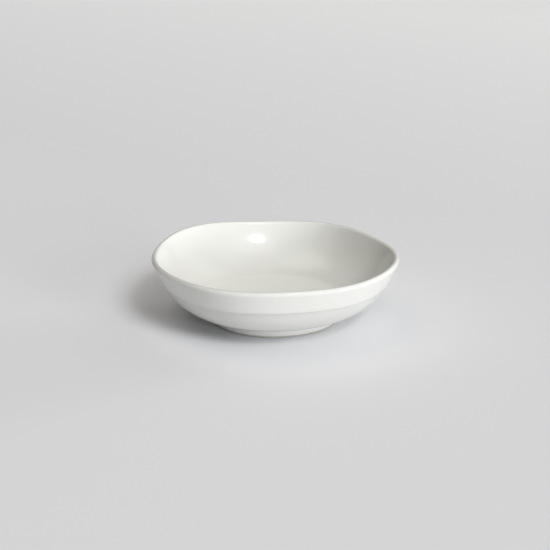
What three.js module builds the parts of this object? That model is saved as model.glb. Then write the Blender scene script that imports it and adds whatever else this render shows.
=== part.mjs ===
// A small side dish bowl of glazed stoneware, with an uneven, hand-shaped outline.
// Millimetres, +Z up. It stands on z = 0 with its middle over the origin and its front at -Y.
import * as THREE from 'three';

// Sizes of the finished bowl, over the glaze. The radii and the bowl's height are means, because the
// plan and the rim wave about them.
const bowlHeight = 34.75;
const rimRadius = 66.35;
const lipThickness = 3.2;

// The upper band stands proud of the wall below it, over a small ledge.
const bandFootRadius = 61.65;
const bandFootHeight = 22.1;
const stepDepth = 0.78;
const ledgeEdgeRadius = 0.25;
const ledgeHollowRadius = 0.6;

// The lower wall leaves the foot almost level and sweeps up into the line of the band.
const footRadius = 36.1;
const footHeight = 4.4;
const creaseRadius = 1.2;
const wallStartDegrees = 9;
const wallStartPullShare = 0.5;
const wallEndPullShare = 0.31;

// The inside is one hollow curve from the lip to the floor, so the wall thins towards the lip. At the
// top it leans out a little from the band's face. The curve is drawn towards the corner where the
// lines of its two ends meet. The thicknesses are the clay's, without the glaze.
const insideLeanDegrees = 1.3;
const insideTopPullShare = 0.46;
const insideFloorPullShare = 0.935;
const lowWallThickness = 3.7;
const floorThickness = 3;
const floorDish = 0.6;

// The foot ring is luted on: its spigot fits the rebate under the floor.
const standWidth = 4;
const standEdge = 0.5;
const ringTaper = 0.4;
const spigotWidth = 1.6;
const spigotClearance = 0.3;

// The glaze stops above the standing face, which stays bare clay, and pools in the base's corner.
const glazeThickness = 0.45;
const glazeStop = 1;
const glazePoolRadius = 1.5;

// The uneven plan. Each wave swells the radius by a share of it, in a number of lobes, turned by
// some degrees. The bowl is rounder towards its foot, which takes only part of each wave.
const planWaveShares = [
  { lobes: 2, share: 0.0117, turn: -69 },
  { lobes: 3, share: 0.0065, turn: 19 },
  { lobes: 4, share: 0.0118, turn: -20 },
  { lobes: 5, share: 0.0072, turn: -5 },
  { lobes: 6, share: 0.008, turn: 9 },
];
const footWaveShare = 0.36;
const bandWaveShare = 0.9;

// The uneven rim, which rises and falls in waves. They fade out down the wall, so that the floor
// and the foot stay level.
const rimWaves = [
  { lobes: 2, rise: 0.36, turn: -73 },
  { lobes: 3, rise: 0.54, turn: 22 },
  { lobes: 4, rise: 0.24, turn: 42 },
  { lobes: 5, rise: 0.22, turn: -16 },
];
const levelHeight = 10;
const bandRiseShare = 0.76;

// Columns round the plan, and steps along each curve of the section.
const columns = 60;
const creaseSteps = 2;
const wallSteps = 7;
const ledgeSteps = 1;
const lipSteps = 5;
const insideSteps = 9;
const floorSteps = 3;
const poolSteps = 3;

const radians = THREE.MathUtils.degToRad;
const quarterTurn = Math.PI / 2;

// Outlines are lists of points (radius, height), walked with the piece's material on the left.
function point(radius, height) {
  return new THREE.Vector2(radius, height);
}

function direction(angle) {
  return point(Math.cos(angle), Math.sin(angle));
}

function rightOf(run) {
  return point(run.y, -run.x);
}

function arc(centre, radius, from, to, steps) {
  return Array.from({ length: steps + 1 }, (_, i) =>
    direction(THREE.MathUtils.lerp(from, to, i / steps)).multiplyScalar(radius).add(centre));
}

// Rounds the corner where one direction turns into another.
function roundedCorner(corner, runIn, runOut, radius, steps) {
  const turn = Math.atan2(runIn.cross(runOut), runIn.dot(runOut));
  const start = corner.clone().addScaledVector(runIn, -radius * Math.tan(Math.abs(turn) / 2));
  const outward = rightOf(runIn).multiplyScalar(Math.sign(turn));
  const centre = start.clone().addScaledVector(outward, -radius);
  return arc(centre, radius, outward.angle(), outward.angle() + turn, steps);
}

// Where the line through one point meets the line through another.
function meet(here, run, there, otherRun) {
  const reach = there.clone().sub(here).cross(otherRun) / run.cross(otherRun);
  return here.clone().addScaledVector(run, reach);
}

// Moves an outline to its right, with mitred corners. A point on the axis stays on it.
function offset(outline, distance) {
  const runs = outline.slice(1).map((next, i) => next.clone().sub(outline[i]).normalize());
  return outline.map((here, i) => {
    const runIn = runs[Math.max(i - 1, 0)];
    const runOut = runs[Math.min(i, runs.length - 1)];
    const mitre = rightOf(runIn).add(rightOf(runOut)).divideScalar(1 + runIn.dot(runOut));
    const moved = here.clone().addScaledVector(mitre, distance);
    return here.x === 0 ? point(0, moved.y) : moved;
  });
}

// A wave is full at the rim, and falls to one part at the band's foot and another at a base height.
function partAt(height, baseHeight, basePart, bandPart) {
  const { mapLinear } = THREE.MathUtils;
  if (height < baseHeight) return basePart;
  return height < bandFootHeight
    ? mapLinear(height, baseHeight, bandFootHeight, basePart, bandPart)
    : mapLinear(height, bandFootHeight, bowlHeight, bandPart, 1);
}

function wave(angle, { lobes, turn }) {
  return Math.cos(lobes * (angle - radians(turn)));
}

// Where a point of the outline comes to lie at an angle round the bowl.
function uneven({ x: radius, y: height }, angle) {
  const swell = planWaveShares.reduce((sum, each) => sum + each.share * wave(angle, each), 0);
  const rise = rimWaves.reduce((sum, each) => sum + each.rise * wave(angle, each), 0);
  const reach = radius * (1 + swell * partAt(height, 0, footWaveShare, bandWaveShare));
  const lift = rise * partAt(height, levelHeight, 0, bandRiseShare);
  return [reach * Math.cos(angle), reach * Math.sin(angle), height + lift];
}

// Carries a closed outline round the plan. A point on the axis becomes one shared vertex, and each
// cell is split along the diagonal that climbs, so that two pieces meet on the same facets.
function sweepRound(outline) {
  const positions = [];
  const rows = outline.map(place => {
    const first = positions.length / 3;
    const count = place.x === 0 ? 1 : columns;
    for (let column = 0; column < count; column += 1) {
      positions.push(...uneven(place, 2 * Math.PI * column / columns));
    }
    return { height: place.y, vertex: column => first + column % count };
  });
  const faces = [];
  rows.forEach((row, i) => {
    const next = rows[(i + 1) % rows.length];
    for (let column = 0; column < columns; column += 1) {
      const [near, far] = [row, next].map(({ vertex }) => [vertex(column), vertex(column + 1)]);
      const cell = [...near, ...far.reverse()];
      if (row.height > next.height) cell.push(cell.shift());
      const [a, b, c, d] = cell;
      faces.push([a, b, c], [a, c, d]);
    }
  });
  const geometry = new THREE.BufferGeometry();
  geometry.setAttribute('position', new THREE.Float32BufferAttribute(positions, 3));
  geometry.setIndex(faces.filter(([a, b, c]) => a !== b && b !== c && c !== a).flat());
  geometry.computeVertexNormals();
  return geometry;
}

// The clay's own sizes lie one glaze thickness inside the finished ones.
const clayFootRadius = footRadius - glazeThickness;
const clayLipRadius = lipThickness / 2 - glazeThickness;
const ledgeHeight = bandFootHeight + glazeThickness;

// The band's outer face runs from its lower edge to a tangent on the round of the lip.
const lipCentre = point(rimRadius - lipThickness / 2, bowlHeight - lipThickness / 2);
const bandToLip = lipCentre.clone().sub(point(bandFootRadius, bandFootHeight));
const bandAngle = bandToLip.angle() - Math.asin(lipThickness / 2 / bandToLip.length());
const bandRun = direction(bandAngle);
const bandOut = rightOf(bandRun);
const bandTop = lipCentre.clone().addScaledVector(bandOut, clayLipRadius);

// The wall's own line carries on inside the band, one step's depth behind its face.
const wallTop = bandTop.clone().addScaledVector(bandOut, -stepDepth);

function atHeight(through, height) {
  return through.clone().addScaledVector(bandRun, (height - through.y) / bandRun.y);
}

const levelOut = point(1, 0);
const ledgeHollow = roundedCorner(
  atHeight(wallTop, ledgeHeight), bandRun, levelOut, ledgeHollowRadius, ledgeSteps);
const ledgeEdge = roundedCorner(
  atHeight(bandTop, ledgeHeight), levelOut, bandRun, ledgeEdgeRadius, ledgeSteps);

// The crease between foot and wall, then the rounded lower wall up to the ledge.
const wallStartAngle = radians(wallStartDegrees);
const wallRun = direction(wallStartAngle);
const creaseCentre = point(clayFootRadius + creaseRadius, footHeight);
const crease = arc(
  creaseCentre, creaseRadius, 2 * quarterTurn, quarterTurn + wallStartAngle, creaseSteps);
const wallStart = crease[crease.length - 1];
const wallEnd = ledgeHollow[0];
const wallChord = wallEnd.distanceTo(wallStart);
const wall = new THREE.CubicBezierCurve(
  wallStart,
  wallStart.clone().addScaledVector(wallRun, wallChord * wallStartPullShare),
  wallEnd.clone().addScaledVector(bandRun, -wallChord * wallEndPullShare),
  wallEnd,
).getPoints(wallSteps);

// The inside leaves the round of the lip almost along the band, and reaches the floor above the
// wall's start, at the slope that the wall has there.
const insideAngle = bandAngle - radians(insideLeanDegrees);
const lip = arc(
  lipCentre, clayLipRadius, bandAngle - quarterTurn, insideAngle + quarterTurn, lipSteps);
const insideTop = lip[lip.length - 1];
const floorEdge = wallStart.clone().addScaledVector(rightOf(wallRun), -lowWallThickness);
const insideCorner = meet(insideTop, direction(insideAngle), floorEdge, wallRun);
const inside = new THREE.CubicBezierCurve(
  insideTop,
  insideTop.clone().lerp(insideCorner, insideTopPullShare),
  floorEdge.clone().lerp(insideCorner, insideFloorPullShare),
  floorEdge,
).getPoints(insideSteps);

// The floor runs on from the wall at the wall's own slope and levels out at the middle.
const floorHeight = floorEdge.y - floorDish;
const floor = new THREE.QuadraticBezierCurve(
  floorEdge,
  point(floorEdge.x - floorDish / Math.tan(wallStartAngle), floorHeight),
  point(0, floorHeight),
).getPoints(floorSteps);

// Everything that shows above the foot ring, from the crease over the lip to the middle.
const claySkin = [
  ...crease, ...wall.slice(1), ...ledgeHollow.slice(1), ...ledgeEdge,
  ...lip, ...inside.slice(1), ...floor.slice(1),
];

// The seat under the floor: a flat land for the ring's shoulder round a rebate for its spigot.
const ceilingHeight = floorHeight - floorThickness;
const ringInnerRadius = clayFootRadius - standWidth;
const spigotInnerRadius = ringInnerRadius - ringTaper;
const spigotOuterRadius = spigotInnerRadius + spigotWidth;
const spigotTop = ceilingHeight - spigotClearance;
const rebateRadius = spigotOuterRadius + spigotClearance;

function stonewareBody() {
  return sweepRound([
    point(0, ceilingHeight),
    point(rebateRadius, ceilingHeight),
    point(rebateRadius, footHeight),
    ...claySkin,
  ]);
}

function footRing() {
  return sweepRound([
    point(clayFootRadius - standEdge, 0),
    point(clayFootRadius, standEdge),
    point(clayFootRadius, glazeStop),
    point(clayFootRadius, footHeight),
    point(spigotOuterRadius, footHeight),
    point(spigotOuterRadius, spigotTop),
    point(spigotInnerRadius, spigotTop),
    point(ringInnerRadius, glazeStop),
    point(ringInnerRadius, standEdge),
    point(ringInnerRadius + standEdge, 0),
  ]);
}

// A skin of glaze lies between its face and the clay. Its free edge above the stand is rolled back.
function glazeOver(clay, face) {
  return sweepRound([...face, ...clay.slice().reverse()]);
}

function rolledEdge(end) {
  return point(end.x, end.y + glazeThickness);
}

function glazeCoat() {
  const clay = [point(clayFootRadius, glazeStop), ...claySkin];
  const [start, ...face] = offset(clay, glazeThickness);
  return glazeOver(clay, [rolledEdge(start), ...face]);
}

function baseGlaze() {
  const clay = [
    point(0, ceilingHeight),
    point(spigotInnerRadius, ceilingHeight),
    point(spigotInnerRadius, spigotTop),
    point(ringInnerRadius, glazeStop),
  ];
  const [middle, corner, , end] = offset(clay, glazeThickness);
  const down = end.clone().sub(corner).normalize();
  const pool = roundedCorner(corner, levelOut, down, glazePoolRadius, poolSteps);
  return glazeOver(clay, [middle, ...pool, rolledEdge(end)]);
}

const clayMaterial = new THREE.MeshStandardMaterial({ color: 0xd9cfc0, roughness: 0.9, metalness: 0 });
const glazeMaterial = new THREE.MeshStandardMaterial({ color: 0xf0f0ec, roughness: 0.35, metalness: 0 });

function piece(name, geometry, material) {
  const mesh = new THREE.Mesh(geometry, material.clone());
  mesh.name = name;
  return mesh;
}

const bowl = new THREE.Group();
bowl.add(
  piece('stoneware_body', stonewareBody(), clayMaterial),
  piece('foot_ring', footRing(), clayMaterial),
  piece('glaze_coat', glazeCoat(), glazeMaterial),
  piece('base_glaze', baseGlaze(), glazeMaterial),
);

// The waves push the plan a little to one side, so the whole bowl is moved back over the origin.
const middle = new THREE.Box3().setFromObject(bowl).getCenter(new THREE.Vector3());
bowl.position.set(-middle.x, -middle.y, 0);

export default bowl;
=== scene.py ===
"""The looks of a small side dish bowl in satin white glaze, on a pale studio floor."""
import cmath
import math

import bpy
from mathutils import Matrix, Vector


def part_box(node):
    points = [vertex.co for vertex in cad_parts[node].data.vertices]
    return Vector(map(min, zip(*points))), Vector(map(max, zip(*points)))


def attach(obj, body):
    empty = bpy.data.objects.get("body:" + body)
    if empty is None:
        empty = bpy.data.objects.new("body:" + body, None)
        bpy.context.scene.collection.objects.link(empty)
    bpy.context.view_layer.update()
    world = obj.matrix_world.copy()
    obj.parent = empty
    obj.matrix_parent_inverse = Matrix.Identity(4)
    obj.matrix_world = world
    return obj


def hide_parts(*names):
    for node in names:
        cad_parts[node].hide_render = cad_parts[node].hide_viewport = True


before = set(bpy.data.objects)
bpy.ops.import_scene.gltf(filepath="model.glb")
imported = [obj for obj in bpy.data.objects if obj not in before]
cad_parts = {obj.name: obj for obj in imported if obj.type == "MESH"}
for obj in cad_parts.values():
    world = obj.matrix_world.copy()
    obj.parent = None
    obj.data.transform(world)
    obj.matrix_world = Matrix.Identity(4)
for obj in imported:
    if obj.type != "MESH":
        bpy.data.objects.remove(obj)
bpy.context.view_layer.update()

# Sizes in metres, as the frame's solids have them, over the glaze. The radii and the bowl's height
# are means, because the plan and the rim wave about them.
BOWL_HEIGHT = 0.03475
RIM_RADIUS = 0.06635
LIP_THICKNESS = 0.0032
BAND_FOOT_RADIUS = 0.06165
BAND_FOOT_HEIGHT = 0.0221
STEP_DEPTH = 0.00078
LEDGE_EDGE_RADIUS = 0.00025
LEDGE_HOLLOW_RADIUS = 0.0006
FOOT_RADIUS = 0.0361
FOOT_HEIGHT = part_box("stoneware_body")[0].z
CREASE_RADIUS = 0.0012
WALL_START = math.radians(9)
WALL_START_PULL_SHARE = 0.5
WALL_END_PULL_SHARE = 0.31
INSIDE_LEAN = math.radians(1.3)
INSIDE_TOP_PULL_SHARE = 0.46
INSIDE_FLOOR_PULL_SHARE = 0.935
LOW_WALL_THICKNESS = 0.0037
FLOOR_THICKNESS = 0.003
FLOOR_DISH = 0.0006
STAND_WIDTH = 0.004
STAND_EDGE = 0.0005
RING_TAPER = 0.0004
SPIGOT_WIDTH = 0.0016
SPIGOT_CLEARANCE = 0.0003
GLAZE = 0.00045
GLAZE_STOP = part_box("glaze_coat")[0].z
GLAZE_POOL_RADIUS = 0.0015

# The glaze runs together in the crease over the foot, with a larger radius than in the solids.
GLAZE_CREASE_RADIUS = 0.0024

# The uneven plan: lobes, the share of the radius that they swell it by, and their turn in degrees.
PLAN_WAVE_SHARES = (
    (2, 0.0117, -69), (3, 0.0065, 19), (4, 0.0118, -20), (5, 0.0072, -5), (6, 0.008, 9),
)
FOOT_WAVE_SHARE = 0.36
BAND_WAVE_SHARE = 0.9

# The uneven rim: lobes, their rise and their turn. The waves fade out down to a level height.
RIM_WAVES = ((2, 0.00036, -73), (3, 0.00054, 22), (4, 0.00024, 42), (5, 0.00022, -16))
LEVEL_HEIGHT = 0.01
BAND_RISE_SHARE = 0.76

# Fineness: columns round the plan, and steps along each curve of the section.
COLUMNS = 288
CREASE_STEPS = 5
WALL_STEPS = 30
LEDGE_STEPS = 4
LIP_STEPS = 12
BAND_STEPS = 10
INSIDE_STEPS = 40
FLOOR_STEPS = 18
EDGE_STEPS = 4
SHARP_ANGLE = math.radians(50)

# The glaze is thin within this reach of the lip's crown and the ledge's edge. The upper wall is
# painted darker as shade under the ledge, from none to the most between these shares of the way
# up from the crease to the ledge. The last reach tells the outside of the wall from the rest of the
# bowl.
THIN_REACH = 0.0014
LEDGE_SHADE_START = 0.2
LEDGE_SHADE_FULL = 0.6
LEDGE_SHADE_REACH = 2 * GLAZE


# A point of the section is a complex number, its radius plus its height times j. Outlines are
# walked with the piece's material on the left.
def unit(run):
    return run / abs(run)


def along(start, end, steps):
    return [start + (end - start) * i / steps for i in range(steps + 1)]


def arc(centre, radius, start, end, steps):
    return [centre + cmath.rect(radius, angle) for angle in along(start, end, steps)]


def meet(here, run, there, other_run):
    reach = ((there - here) * other_run.conjugate()).imag / (run * other_run.conjugate()).imag
    return here + run * reach


def rounded_corner(corner, run_in, run_out, radius, steps):
    turn = cmath.phase(run_out / run_in)
    start = corner - run_in * radius * math.tan(abs(turn) / 2)
    outward = run_in * -1j * math.copysign(1, turn)
    angle = cmath.phase(outward)
    return arc(start - outward * radius, radius, angle, angle + turn, steps)


def offset(outline, distance):
    runs = [unit(b - a) for a, b in zip(outline, outline[1:])]
    moved = []
    for i, here in enumerate(outline):
        run_in, run_out = runs[max(i - 1, 0)], runs[min(i, len(runs) - 1)]
        mitre = (run_in + run_out) * -1j / (1 + (run_in * run_out.conjugate()).real)
        there = here + mitre * distance
        moved.append(complex(0, there.imag) if here.real == 0 else there)
    return moved


def bezier(points, steps):
    line = []
    for t in along(0, 1, steps):
        row = list(points)
        while len(row) > 1:
            row = [a + (b - a) * t for a, b in zip(row, row[1:])]
        line.append(row[0])
    return line


def waves(rows, angle):
    return sum(
        size * math.cos(lobes * (angle - math.radians(turn))) for lobes, size, turn in rows)


def part_at(height, base_height, base_part, band_part):
    if height < base_height:
        return base_part
    if height < BAND_FOOT_HEIGHT:
        climb = (height - base_height) / (BAND_FOOT_HEIGHT - base_height)
        return base_part + (band_part - base_part) * climb
    climb = (height - BAND_FOOT_HEIGHT) / (BOWL_HEIGHT - BAND_FOOT_HEIGHT)
    return band_part + (1 - band_part) * climb


def uneven(point, angle):
    swell = waves(PLAN_WAVE_SHARES, angle)
    swell *= part_at(point.imag, 0, FOOT_WAVE_SHARE, BAND_WAVE_SHARE)
    lift = waves(RIM_WAVES, angle) * part_at(point.imag, LEVEL_HEIGHT, 0, BAND_RISE_SHARE)
    reach = point.real * (1 + swell)
    return reach * math.cos(angle), reach * math.sin(angle), point.imag + lift


# The section of the clay, one glaze thickness inside the finished sizes.
clay_foot_radius = FOOT_RADIUS - GLAZE
clay_lip_radius = LIP_THICKNESS / 2 - GLAZE
ledge_height = BAND_FOOT_HEIGHT + GLAZE
lip_centre = complex(RIM_RADIUS - LIP_THICKNESS / 2, BOWL_HEIGHT - LIP_THICKNESS / 2)
band_to_lip = lip_centre - complex(BAND_FOOT_RADIUS, BAND_FOOT_HEIGHT)
band_angle = cmath.phase(band_to_lip) - math.asin(LIP_THICKNESS / 2 / abs(band_to_lip))
band_run = cmath.rect(1, band_angle)
band_out = band_run * -1j
band_top = lip_centre + band_out * clay_lip_radius
wall_top = band_top - band_out * STEP_DEPTH


def at_height(through, height):
    return through + band_run * (height - through.imag) / band_run.imag


ledge_hollow = rounded_corner(
    at_height(wall_top, ledge_height), band_run, 1, LEDGE_HOLLOW_RADIUS, LEDGE_STEPS)
ledge_edge = rounded_corner(
    at_height(band_top, ledge_height), 1, band_run, LEDGE_EDGE_RADIUS, LEDGE_STEPS)
crease_centre = complex(clay_foot_radius + CREASE_RADIUS, FOOT_HEIGHT)
crease = arc(crease_centre, CREASE_RADIUS, math.pi, math.pi / 2 + WALL_START, CREASE_STEPS)
wall_start, wall_end = crease[-1], ledge_hollow[0]
wall_chord = abs(wall_end - wall_start)
wall = bezier((
    wall_start,
    wall_start + cmath.rect(wall_chord * WALL_START_PULL_SHARE, WALL_START),
    wall_end - band_run * wall_chord * WALL_END_PULL_SHARE,
    wall_end,
), WALL_STEPS)

inside_angle = band_angle - INSIDE_LEAN
wall_run = cmath.rect(1, WALL_START)
lip = arc(
    lip_centre, clay_lip_radius, band_angle - math.pi / 2, inside_angle + math.pi / 2, LIP_STEPS)
band = along(ledge_edge[-1], lip[0], BAND_STEPS)[1:-1]
floor_edge = wall_start + wall_run * 1j * LOW_WALL_THICKNESS
inside_corner = meet(lip[-1], cmath.rect(1, inside_angle), floor_edge, wall_run)
inside = bezier((
    lip[-1],
    lip[-1] + (inside_corner - lip[-1]) * INSIDE_TOP_PULL_SHARE,
    floor_edge + (inside_corner - floor_edge) * INSIDE_FLOOR_PULL_SHARE,
    floor_edge,
), INSIDE_STEPS)
floor_height = floor_edge.imag - FLOOR_DISH
floor = bezier((
    floor_edge,
    complex(floor_edge.real - FLOOR_DISH / math.tan(WALL_START), floor_height),
    complex(0, floor_height),
), FLOOR_STEPS)
clay_skin = crease + wall[1:] + ledge_hollow[1:] + ledge_edge + band + lip + inside[1:] + floor[1:]
thin_edges = (lip[len(lip) // 2], ledge_edge[len(ledge_edge) // 2])

ceiling_height = floor_height - FLOOR_THICKNESS
ring_inner_radius = clay_foot_radius - STAND_WIDTH
spigot_inner_radius = ring_inner_radius - RING_TAPER
spigot_outer_radius = spigot_inner_radius + SPIGOT_WIDTH
spigot_top = ceiling_height - SPIGOT_CLEARANCE
rebate_radius = spigot_outer_radius + SPIGOT_CLEARANCE


# Each piece of the bowl is one closed outline, swept round the uneven plan.
def clay_body():
    return [
        complex(0, ceiling_height),
        complex(rebate_radius, ceiling_height),
        complex(rebate_radius, FOOT_HEIGHT),
        *clay_skin,
    ]


def foot_ring():
    outer_edge = rounded_corner(complex(clay_foot_radius, 0), 1, 1j, STAND_EDGE, EDGE_STEPS)
    inner_edge = rounded_corner(complex(ring_inner_radius, 0), -1j, 1, STAND_EDGE, EDGE_STEPS)
    return [
        *outer_edge,
        complex(clay_foot_radius, GLAZE_STOP),
        complex(clay_foot_radius, FOOT_HEIGHT),
        complex(spigot_outer_radius, FOOT_HEIGHT),
        complex(spigot_outer_radius, spigot_top),
        complex(spigot_inner_radius, spigot_top),
        complex(ring_inner_radius, GLAZE_STOP),
        *inner_edge,
    ]


def glaze_coat():
    clay = [complex(clay_foot_radius, GLAZE_STOP), *clay_skin]
    face = offset(clay, GLAZE)[1:]
    corner = meet(complex(FOOT_RADIUS, 0), 1j, wall_start - wall_run * 1j * GLAZE, wall_run)
    run_together = rounded_corner(corner, 1j, wall_run, GLAZE_CREASE_RADIUS, CREASE_STEPS)
    past = len(crease)
    while ((face[past] - run_together[-1]) * wall_run.conjugate()).real <= 0:
        past += 1
    face = run_together + face[past:]
    roll_centre = clay[0] + GLAZE * 1j
    rolled_edge = arc(roll_centre, GLAZE, -math.pi / 2, 0, EDGE_STEPS)[1:]
    return [*rolled_edge, *face, *reversed(clay)]


def base_glaze():
    clay = [
        complex(0, ceiling_height),
        complex(spigot_inner_radius, ceiling_height),
        complex(spigot_inner_radius, spigot_top),
        complex(ring_inner_radius, GLAZE_STOP),
    ]
    middle, corner, _, end = offset(clay, GLAZE)
    down = unit(end - corner)
    pool = rounded_corner(corner, 1, down, GLAZE_POOL_RADIUS, CREASE_STEPS)
    roll_centre = clay[-1] + GLAZE * 1j
    rolled_edge = arc(roll_centre, GLAZE, math.pi, 3 * math.pi / 2, EDGE_STEPS)[:-1]
    return [middle, *pool, *rolled_edge, *reversed(clay)]


def thinned(point):
    return max(math.exp(-(abs(point - edge) / THIN_REACH) ** 2) for edge in thin_edges)


# Painted shade: how much of the darker colour the upper wall under the ledge takes.
def ledge_shade(point):
    nearest = min(range(len(wall)), key=lambda i: abs(point - wall[i]))
    if abs(point - wall[nearest]) > LEDGE_SHADE_REACH:
        return 0
    climb = nearest / (len(wall) - 1)
    return min(max((climb - LEDGE_SHADE_START) / (LEDGE_SHADE_FULL - LEDGE_SHADE_START), 0), 1)


def swept(name, outline):
    rows, places, edge_glaze, wall_shade = [], [], [], []
    for point in outline:
        columns = 1 if point.real == 0 else COLUMNS
        rows.append(range(len(places), len(places) + columns))
        places += [uneven(point, math.tau * column / COLUMNS) for column in range(columns)]
        edge_glaze += [thinned(point)] * columns
        wall_shade += [ledge_shade(point)] * columns
    faces = []
    for low, high in zip(rows, rows[1:] + rows[:1]):
        if len(low) == len(high) == 1:
            continue
        for column in range(COLUMNS):
            beside = (column + 1) % COLUMNS
            corners = [low[column % len(low)], low[beside % len(low)]]
            corners += [high[beside % len(high)], high[column % len(high)]]
            faces.append(list(dict.fromkeys(corners)))
    mesh = bpy.data.meshes.new(name)
    mesh.from_pydata(places, [], faces)
    mesh.shade_smooth()
    mesh.set_sharp_from_angle(angle=SHARP_ANGLE)
    mesh.attributes.new("thin_glaze", "FLOAT", "POINT").data.foreach_set("value", edge_glaze)
    # The painted shade under the ledge is stored per point.
    mesh.attributes.new("painted_ledge_shade", "FLOAT", "POINT").data.foreach_set("value", wall_shade)
    piece = bpy.data.objects.new(name, mesh)
    bpy.context.collection.objects.link(piece)
    return piece


# Materials are node trees. A cloud of noise is given by its size in metres, on the object's own
# coordinates, its detail, and the two values that it drifts between. A layer of bumps is given by
# its size, detail and depth.
NOISE_MOSTLY = (0.3, 0.7)
MIX_SHARE, MIX_COLOUR_A, MIX_COLOUR_B = 0, 6, 7
MIX_RESULT = 2
GLAZE_IOR = 1.5
GLAZE_TONE_CLOUD = (0.03, 1, 0, 1)
GLAZE_THIN_CLOUD = (0.006, 2, 0.3, 1)
GLAZE_ROUGHNESS_CLOUD = (0.012, 4, 0.13, 0.16)
GLAZE_BUMPS = ((0.009, 2, 0.000012), (0.0012, 2, 0.0000015))
CLAY_GRAIN_CLOUD = (0.0006, 4, 0, 1)
CLAY_ROUGHNESS_CLOUD = (0.002, 3, 0.75, 0.92)
CLAY_BUMPS = ((0.0006, 5, 0.00006),)
PAPER_ROUGHNESS = 0.8
PAPER_BUMPS = ((0.0015, 3, 0.00001),)


def node(tree, kind, inputs=None, **settings):
    made = tree.nodes.new(kind)
    for name, value in settings.items():
        setattr(made, name, value)
    for socket, value in (inputs or {}).items():
        if isinstance(value, bpy.types.NodeSocket):
            tree.links.new(value, made.inputs[socket])
        else:
            made.inputs[socket].default_value = value
    return made


def cloud(tree, size, detail, low, high):
    place = node(tree, "ShaderNodeTexCoord").outputs["Object"]
    drift = node(tree, "ShaderNodeTexNoise", {"Vector": place, "Scale": 1 / size, "Detail": detail})
    return node(tree, "ShaderNodeMapRange", {
        "Value": drift.outputs["Fac"],
        "From Min": NOISE_MOSTLY[0],
        "From Max": NOISE_MOSTLY[1],
        "To Min": low,
        "To Max": high,
    }).outputs["Result"]


def tint(tree, share, colour_a, colour_b):
    mix = node(tree, "ShaderNodeMix", data_type="RGBA")
    values = ((MIX_SHARE, share), (MIX_COLOUR_A, colour_a), (MIX_COLOUR_B, colour_b))
    for index, value in values:
        if isinstance(value, bpy.types.NodeSocket):
            tree.links.new(value, mix.inputs[index])
        else:
            mix.inputs[index].default_value = value
    return mix.outputs[MIX_RESULT]


def grey(red, green, blue):
    return red, green, blue, 1


def surface(name):
    material = bpy.data.materials.new(name)
    material.use_nodes = True
    tree = material.node_tree
    return material, tree, tree.nodes["Principled BSDF"]


def feed(tree, shader, **values):
    for name, value in values.items():
        socket = shader.inputs[name.replace("_", " ")]
        if isinstance(value, bpy.types.NodeSocket):
            tree.links.new(value, socket)
        else:
            socket.default_value = value


def bumped(tree, layers):
    inputs = {}
    for size, detail, depth in layers:
        height = cloud(tree, size, detail, 0, 1)
        bump = node(tree, "ShaderNodeBump", {"Height": height, "Distance": depth, **inputs})
        inputs = {"Normal": bump.outputs["Normal"]}
    return inputs["Normal"]


def satin_glaze(name, milk, cream, thin, ledge_shade_colour):
    material, tree, shader = surface(name)
    body = tint(tree, cloud(tree, *GLAZE_TONE_CLOUD), milk, cream)
    # Painted shade: the upper wall under the ledge is tinted darker.
    low = node(tree, "ShaderNodeAttribute", attribute_name="painted_ledge_shade").outputs["Fac"]
    body = tint(tree, low, body, ledge_shade_colour)
    edge = node(tree, "ShaderNodeAttribute", attribute_name="thin_glaze").outputs["Fac"]
    patchy = cloud(tree, *GLAZE_THIN_CLOUD)
    share = node(tree, "ShaderNodeMath", {0: edge, 1: patchy}, operation="MULTIPLY").outputs[0]
    feed(
        tree, shader,
        Base_Color=tint(tree, share, body, thin),
        Roughness=cloud(tree, *GLAZE_ROUGHNESS_CLOUD),
        IOR=GLAZE_IOR,
        Normal=bumped(tree, GLAZE_BUMPS),
    )
    return material


def bare_clay(name, pale, dark):
    material, tree, shader = surface(name)
    grain = cloud(tree, *CLAY_GRAIN_CLOUD)
    feed(
        tree, shader,
        Base_Color=tint(tree, grain, pale, dark),
        Roughness=cloud(tree, *CLAY_ROUGHNESS_CLOUD),
        Normal=bumped(tree, CLAY_BUMPS),
    )
    return material


glaze = satin_glaze(
    "satin_white_glaze",
    milk=grey(0.785, 0.787, 0.752),
    cream=grey(0.775, 0.775, 0.737),
    thin=grey(0.73, 0.725, 0.69),
    # The last colour is painted shade for the upper wall under the ledge.
    ledge_shade_colour=grey(0.702, 0.702, 0.669),
)
pool_glaze = satin_glaze(
    "base_pool_glaze",
    milk=grey(0.73, 0.73, 0.7),
    cream=grey(0.715, 0.71, 0.675),
    thin=grey(0.69, 0.68, 0.645),
    ledge_shade_colour=grey(0.7, 0.695, 0.66),
)
clay = bare_clay(
    "bare_stoneware_clay", pale=grey(0.56, 0.54, 0.5), dark=grey(0.48, 0.455, 0.415))

outlines = (
    ("fine_clay_body", "stoneware_body", "clay_body", clay, clay_body()),
    ("fine_foot_ring", "foot_ring", "bare_clay_foot", clay, foot_ring()),
    ("fine_glaze_coat", "glaze_coat", "satin_glaze", glaze, glaze_coat()),
    ("fine_base_glaze", "base_glaze", "base_pool_glaze", pool_glaze, base_glaze()),
)
pieces = [swept(name, outline) for name, _, _, _, outline in outlines]

# The frame's solids are centred by their box, so these are too.
coat_places = [vertex.co for vertex in pieces[2].data.vertices]
middle = Vector([
    (min(place[axis] for place in coat_places) + max(place[axis] for place in coat_places)) / 2
    for axis in range(2)
] + [0])
for piece, (_, replaced, slot, material, _) in zip(pieces, outlines):
    for vertex in piece.data.vertices:
        vertex.co -= middle
    piece.data.materials.append(material)
    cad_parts[replaced].data.materials.clear()
    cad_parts[replaced].data.materials.append(material)
    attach(piece, "root")
    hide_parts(replaced)

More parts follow.
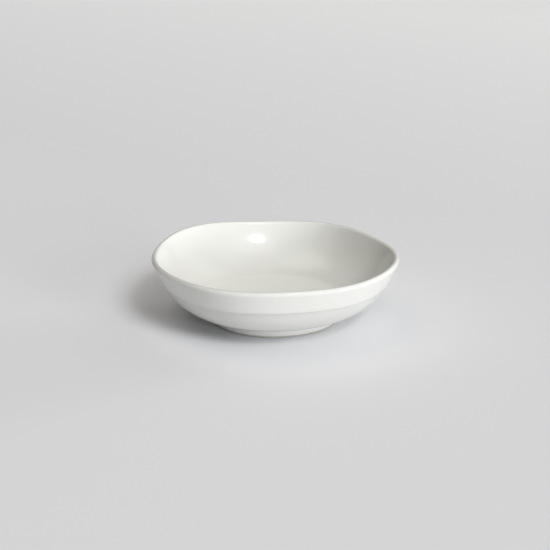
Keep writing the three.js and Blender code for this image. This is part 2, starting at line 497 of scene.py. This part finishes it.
# The studio: a pale floor with no edge in sight, in an uneven room. Lights are placed by the
# azimuth that they come from, which grows from the camera's side to the right, and by their
# elevation, in degrees. A level of 1 lights a surface that faces the light as brightly as a white
# world does.
FLOOR_REACH = 60
AIM = Vector((0, 0, BOWL_HEIGHT / 2))
LAMP_DISTANCE = 24
LAMPS = (  # name, azimuth, elevation, spreads across and up, level, whether the gloss mirrors it
    ("key_core", 27, 44.5, (7, 11), 0.06, True),
    ("key", 33, 39.5, (22, 22), 0.44, False),
    ("low_front", 20, 5, (12, 12), 0.178, False),
    ("low_front_right", 46, 5, (12, 12), 0.23, False),
    ("front_right", 50, 18, (12, 12), 0.124, False),
    ("low_back_right", 120, 5, (12, 12), 0.3, False),
)
LAMP_COLOUR = (0.98, 1, 1.02)
ROOM_COLOUR = grey(1.02, 0.985, 0.925)
ROOM_GLOWS = (  # azimuth, elevation, width, level
    (28, 53, 20, 1.5),
    (60, 68, 26, 0.6),
    (135, 35, 30, 0.94),
    (240, 68, 26, 1.105),
    (270, 50, 30, 0.39),
    (300, 68, 26, 0.4),
)
GLOW_CORE_SHARE = 0.35

# The paper is painted paler along its run to the back and the right, between these two distances,
# as painted light standing in for brighter light there.
PAPER_NEAR = grey(0.813, 0.818, 0.842)
PAPER_FAR = grey(0.96, 0.965, 0.98)
PAPER_FADE = (0.3, 1.3)
PAPER_FADE_RUN = (0.7, 1, 0)

floor_mesh = bpy.data.meshes.new("studio_floor")
corners = [(-1, -1), (1, -1), (1, 1), (-1, 1)]
floor_places = [(x * FLOOR_REACH, y * FLOOR_REACH, 0) for x, y in corners]
floor_mesh.from_pydata(floor_places, [], [range(len(corners))])
studio_floor = bpy.data.objects.new("studio_floor", floor_mesh)
bpy.context.collection.objects.link(studio_floor)
paper, tree, shader = surface("pale_paper")
place = node(tree, "ShaderNodeTexCoord").outputs["Object"]
# Painted light: the paper's colour grows paler towards the back and the right.
run = node(
    tree, "ShaderNodeVectorMath", {0: place, 1: PAPER_FADE_RUN},
    operation="DOT_PRODUCT").outputs["Value"]
fade = {"Value": run, "From Min": PAPER_FADE[0], "From Max": PAPER_FADE[1]}
far = node(tree, "ShaderNodeMapRange", fade).outputs["Result"]
feed(
    tree, shader,
    Base_Color=tint(tree, far, PAPER_NEAR, PAPER_FAR),
    Roughness=PAPER_ROUGHNESS,
    Normal=bumped(tree, PAPER_BUMPS),
)
floor_mesh.materials.append(paper)


def towards(azimuth, elevation):
    azimuth, elevation = math.radians(azimuth), math.radians(elevation)
    return Vector((
        math.sin(azimuth) * math.cos(elevation),
        -math.cos(azimuth) * math.cos(elevation),
        math.sin(elevation),
    ))


def area_lamp(name, azimuth, elevation, spreads, level, mirrored):
    light = bpy.data.lights.new(name, "AREA")
    light.shape = "ELLIPSE"
    light.size, light.size_y = [
        2 * LAMP_DISTANCE * math.tan(math.radians(spread) / 2) for spread in spreads]
    light.energy = level * math.pi ** 2 * LAMP_DISTANCE ** 2
    light.color = LAMP_COLOUR
    lamp = bpy.data.objects.new(name, light)
    lamp.location = AIM + towards(azimuth, elevation) * LAMP_DISTANCE
    lamp.rotation_euler = towards(azimuth, elevation).to_track_quat("Z", "Y").to_euler()
    lamp.visible_glossy = mirrored
    bpy.context.collection.objects.link(lamp)


def room_strength(tree):
    way = node(tree, "ShaderNodeTexCoord").outputs["Generated"]
    total = 0
    for azimuth, elevation, width, level in ROOM_GLOWS:
        facing = node(
            tree, "ShaderNodeVectorMath", {0: way, 1: towards(azimuth, elevation)},
            operation="DOT_PRODUCT").outputs["Value"]
        glow = node(tree, "ShaderNodeMapRange", {
            "Value": facing,
            "From Min": math.cos(math.radians(width)),
            "From Max": math.cos(math.radians(width * GLOW_CORE_SHARE)),
            "To Max": level,
        }, interpolation_type="SMOOTHSTEP").outputs["Result"]
        total = node(tree, "ShaderNodeMath", {0: total, 1: glow}, operation="ADD").outputs[0]
    return total


world = bpy.data.worlds.new("room")
world.use_nodes = True
background = world.node_tree.nodes["Background"]
background.inputs["Color"].default_value = ROOM_COLOUR
world.node_tree.links.new(room_strength(world.node_tree), background.inputs["Strength"])
bpy.context.scene.world = world
for row in LAMPS:
    area_lamp(*row)

# The camera stands where the bowl's outline fits the photograph best.
CAMERA_TARGET = Vector((-0.00004, 0.00044, 0.02263))
CAMERA_ELEVATION = math.radians(18.43)
CAMERA_DISTANCE = 0.75
CAMERA_LENS = 91.11
CAMERA_SENSOR = 36

view = bpy.data.cameras.new("camera")
view.lens = CAMERA_LENS
view.sensor_width = CAMERA_SENSOR
camera = bpy.data.objects.new("camera", view)
back = Vector((0, -math.cos(CAMERA_ELEVATION), math.sin(CAMERA_ELEVATION)))
camera.location = CAMERA_TARGET + back * CAMERA_DISTANCE
camera.rotation_euler = back.to_track_quat("Z", "Y").to_euler()
bpy.context.collection.objects.link(camera)
bpy.context.scene.camera = camera
bpy.context.scene.view_settings.view_transform = "Standard"
